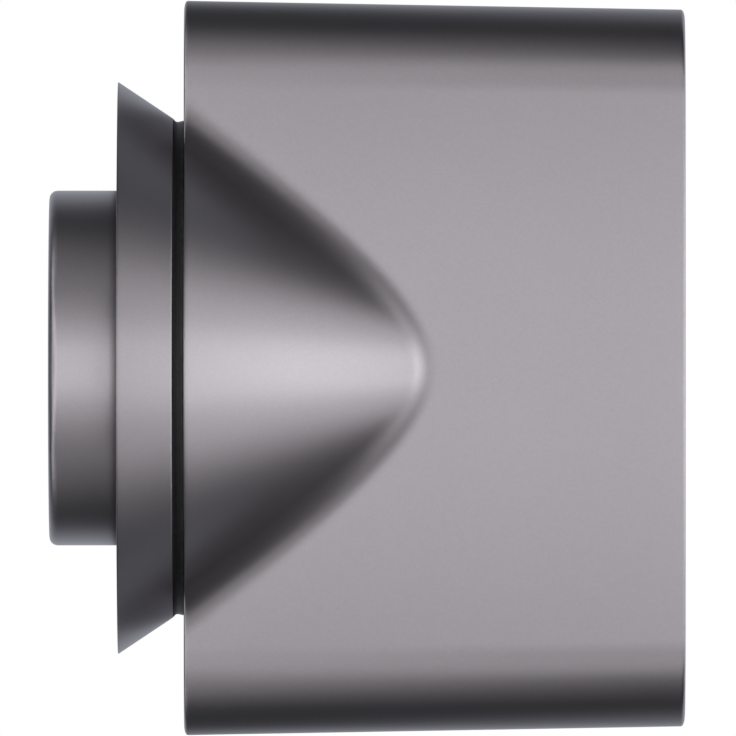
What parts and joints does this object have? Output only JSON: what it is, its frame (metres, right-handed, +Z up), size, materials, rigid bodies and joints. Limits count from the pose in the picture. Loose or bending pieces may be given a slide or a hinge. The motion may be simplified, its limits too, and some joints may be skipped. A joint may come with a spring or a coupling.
{
  "type": "hair dryer concentrator nozzle",
  "caption": "Slim wide styling concentrator for a hair dryer: a round magnetic collar with a centre plug, and a flat nozzle that turns in it and blows through one thin slot.",
  "frame": {"origin": "on the air axis, in the plane where the collar seats on the dryer, at the front end of the plug's straight wall", "axes": "+X along the way the air blows, from the dryer to the outlet slot; +Y along the slot; +Z up, square to the flat faces"},
  "size_m": [0.0788, 0.0912, 0.071],
  "materials": {
    "satin_paint": "moulded plastic with a satin metallic grey lacquer",
    "black_plastic": "heat-resistant black nylon, fine moulded grain",
    "duct_plastic": "heat-resistant dark grey nylon, fine moulded grain",
    "bush_acetal": "natural low-friction plastic",
    "seal_rubber": "soft dark silicone",
    "gasket_silicone": "soft red-brown silicone",
    "standoff_foam": "soft pale silicone posts",
    "magnet_nickel": "nickel-plated magnet",
    "steel": "plain steel"
  },
  "bodies": {
    "collar": {"collar_ring": "satin_paint", "collar_bush": "bush_acetal", "magnet_carrier": "black_plastic", "magnets": "magnet_nickel", "keeper_ring": "steel", "seat_seal": "seal_rubber"},
    "nozzle": {"neck_tube": "black_plastic", "snap_ring": "steel", "wave_washer": "steel", "plug_sleeve": "satin_paint", "plug_cap": "satin_paint", "core_screw": "steel", "inlet_spider": "black_plastic", "flow_core": "black_plastic", "duct_gasket": "gasket_silicone", "duct_upper": "duct_plastic", "duct_lower": "duct_plastic", "guide_vanes": "black_plastic", "outlet_frame": "black_plastic", "duct_standoffs": "standoff_foam", "seam_strips": "duct_plastic", "shell_upper": "satin_paint", "shell_lower": "satin_paint"}
  },
  "joints": [
    {"name": "nozzle_turn", "type": "hinge", "parent": "collar", "child": "nozzle", "pos_m": [0.005, 0, 0], "axis": [1, 0, 0], "continuous": true}
  ]
}
